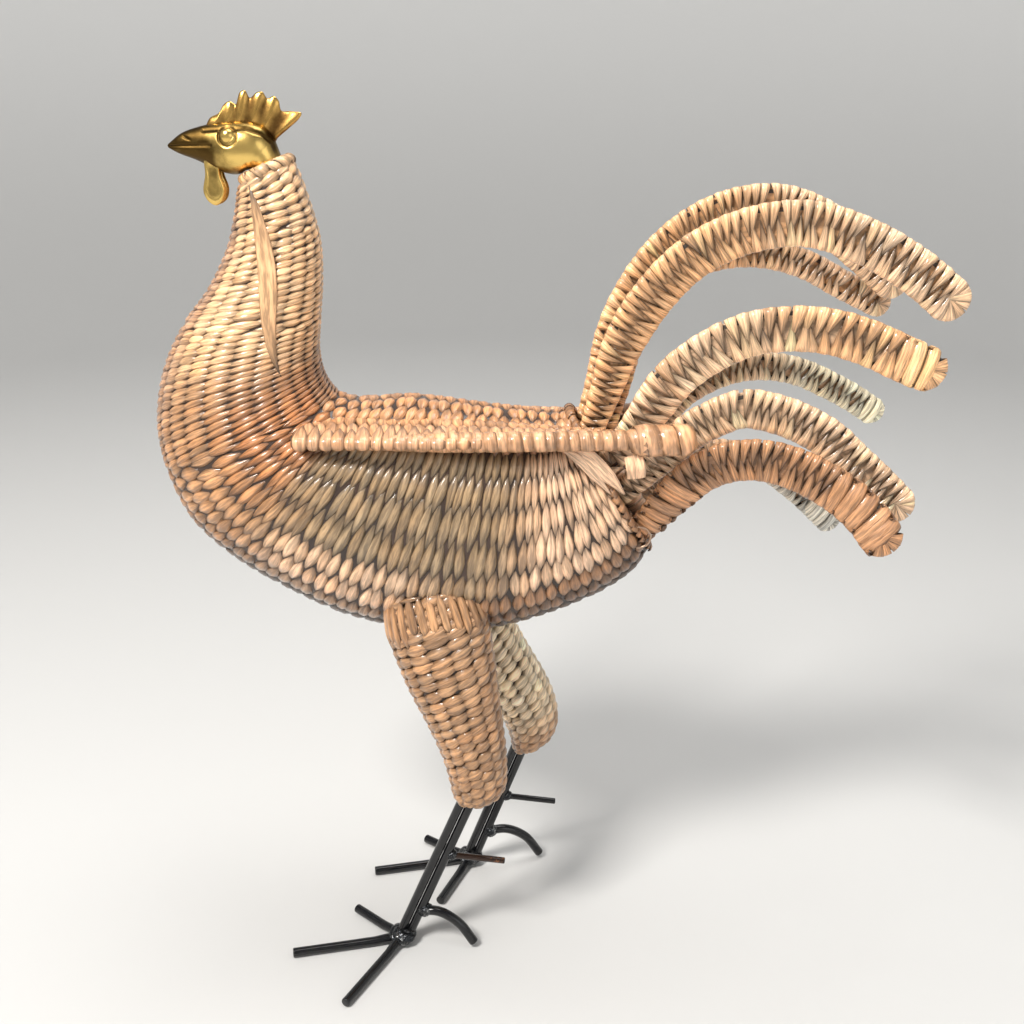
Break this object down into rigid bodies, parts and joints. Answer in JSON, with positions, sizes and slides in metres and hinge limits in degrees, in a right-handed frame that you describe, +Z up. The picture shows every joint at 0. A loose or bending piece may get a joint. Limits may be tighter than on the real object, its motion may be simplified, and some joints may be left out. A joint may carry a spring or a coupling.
{
  "type": "rooster figurine",
  "caption": "Standing rooster ornament of woven rush over a welded rod frame, with a hollow brass head, arched tail feathers and glossy iron-rod legs.",
  "frame": {"origin": "on the floor, under the middle of the part's box", "axes": "+Z up, -Y to the beak, +Y to the tail, +X to the bird's left"},
  "size_m": [0.2112, 0.5604, 0.6515],
  "materials": {
    "rush": "satin",
    "pale_rush": "satin",
    "black_iron": "gloss",
    "frame_rod": "matte",
    "brass": "satin"
  },
  "bodies": {
    "root": {"body_weave": "rush", "left_thigh_weave": "pale_rush", "right_thigh_weave": "pale_rush", "left_leg_front_rod": "black_iron", "left_leg_rear_rod": "black_iron", "left_outer_toe": "black_iron", "left_middle_toe": "black_iron", "left_inner_toe": "black_iron", "left_foot_weld": "black_iron", "left_hind_toe": "black_iron", "left_spur": "black_iron", "right_leg_front_rod": "black_iron", "right_leg_rear_rod": "black_iron", "right_outer_toe": "black_iron", "right_middle_toe": "black_iron", "right_inner_toe": "black_iron", "right_foot_weld": "black_iron", "right_hind_toe": "black_iron", "right_spur": "black_iron", "neck_top_ring": "frame_rod", "neck_hoop": "frame_rod", "shoulder_hoop": "frame_rod", "breast_hoop": "frame_rod", "hip_hoop": "frame_rod", "tail_ring": "frame_rod", "spine_rod": "frame_rod", "keel_rod": "frame_rod", "left_side_rod": "frame_rod", "right_side_rod": "frame_rod", "hip_bar": "frame_rod", "left_wing_weave": "rush", "left_wing_frame": "frame_rod", "left_tail_bar": "frame_rod", "right_wing_weave": "rush", "right_wing_frame": "frame_rod", "right_tail_bar": "frame_rod", "left_top_feather_weave": "rush", "left_top_feather_frame": "frame_rod", "left_upper_feather_weave": "rush", "left_upper_feather_frame": "frame_rod", "left_middle_feather_weave": "rush", "left_middle_feather_frame": "frame_rod", "left_lower_feather_weave": "rush", "left_lower_feather_frame": "frame_rod", "right_top_feather_weave": "rush", "right_top_feather_frame": "frame_rod", "right_upper_feather_weave": "rush", "right_upper_feather_frame": "frame_rod", "right_middle_feather_weave": "rush", "right_middle_feather_frame": "frame_rod", "right_lower_feather_weave": "rush", "right_lower_feather_frame": "frame_rod", "tail_binding": "pale_rush", "head_shell": "brass", "comb": "brass", "left_wattle": "brass", "right_wattle": "brass", "left_eye": "brass", "right_eye": "brass"}
  },
  "joints": []
}
